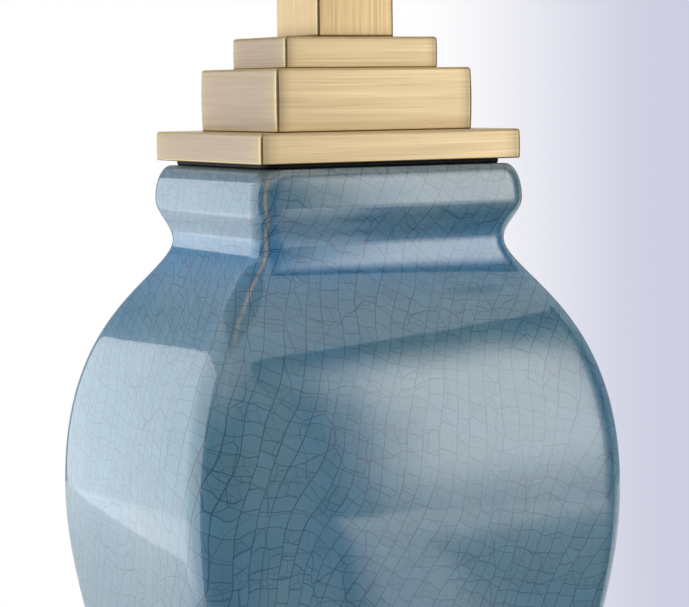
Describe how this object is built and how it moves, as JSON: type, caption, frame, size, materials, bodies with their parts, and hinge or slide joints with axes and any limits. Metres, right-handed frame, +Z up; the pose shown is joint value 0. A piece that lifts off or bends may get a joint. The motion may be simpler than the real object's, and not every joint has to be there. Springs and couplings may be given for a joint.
{
  "type": "table lamp",
  "caption": "Table lamp with an oblong crackle-glazed blue jar between stepped brass mounts, a square neck post, a harp and a tapered rectangular shade.",
  "frame": {"origin": "centre of the lamp's underside, on the surface it stands on", "axes": "+Z up along the lamp pipe; X along the jar's wide side; the switch knob is on the front (-Y) and the cord inlet on the back (+Y)"},
  "size_m": [0.381, 0.291, 0.7579],
  "materials": {
    "felt": "matte",
    "steel_plate": "satin",
    "antique_brass": "satin",
    "bright_brass": "polished",
    "black_plastic": "gloss",
    "black_rubber": "matte",
    "blue_crackle_glaze": "gloss",
    "fibre_liner": "matte",
    "switch_moulding": "matte",
    "linen": "matte",
    "hem_tape": "matte",
    "white_wire": "satin"
  },
  "bodies": {
    "stand": {"base_pad": "felt", "cover_screws": "steel_plate", "bottom_cover": "steel_plate", "cover_bosses": "steel_plate", "plinth": "antique_brass", "cord_inlet": "black_plastic", "base_step": "antique_brass", "clamp_plate": "steel_plate", "lock_washer": "steel_plate", "base_nut": "steel_plate", "foot_gasket": "black_rubber", "ceramic_body": "blue_crackle_glaze", "rim_gasket": "black_rubber", "cap_floor": "steel_plate", "cap_plate": "antique_brass", "cap_block": "antique_brass", "cap_step": "antique_brass", "neck_post": "antique_brass", "post_lid": "antique_brass", "lamp_pipe": "steel_plate", "neck_washer": "bright_brass", "neck_nut": "bright_brass", "harp_saddle": "bright_brass", "harp": "bright_brass", "harp_stud": "bright_brass", "socket_cap": "bright_brass", "socket_shell": "bright_brass", "socket_liner": "fibre_liner", "switch_body": "switch_moulding", "terminal_screws": "steel_plate", "screw_shell": "bright_brass", "centre_contact": "bright_brass"},
    "switch": {"switch_shaft": "steel_plate", "switch_knob": "black_plastic"},
    "left_harp_sleeve": {"left_sleeve": "bright_brass"},
    "right_harp_sleeve": {"right_sleeve": "bright_brass"},
    "shade": {"shade_panel": "linen", "shade_trim_bottom": "hem_tape", "shade_trim_top": "hem_tape", "shade_bottom_ring": "white_wire", "shade_spider": "white_wire"},
    "finial_nut": {"finial": "antique_brass"}
  },
  "joints": [
    {"name": "switch_knob_turn", "type": "hinge", "parent": "stand", "child": "switch", "pos_m": [0, 0, 0.52945], "axis": [0, -1, 0], "continuous": true},
    {"name": "left_sleeve_lift", "type": "slide", "parent": "stand", "child": "left_harp_sleeve", "axis": [0, 0, 1], "range_m": [0, 0.014]},
    {"name": "right_sleeve_lift", "type": "slide", "parent": "stand", "child": "right_harp_sleeve", "axis": [0, 0, 1], "range_m": [0, 0.014]},
    {"name": "shade_turn", "type": "hinge", "parent": "stand", "child": "shade", "pos_m": [0, 0, 0.7371], "axis": [0, 0, 1], "continuous": true},
    {"name": "finial_turn", "type": "hinge", "parent": "stand", "child": "finial_nut", "pos_m": [0, 0, 0.739], "axis": [0, 0, 1], "continuous": true}
  ]
}
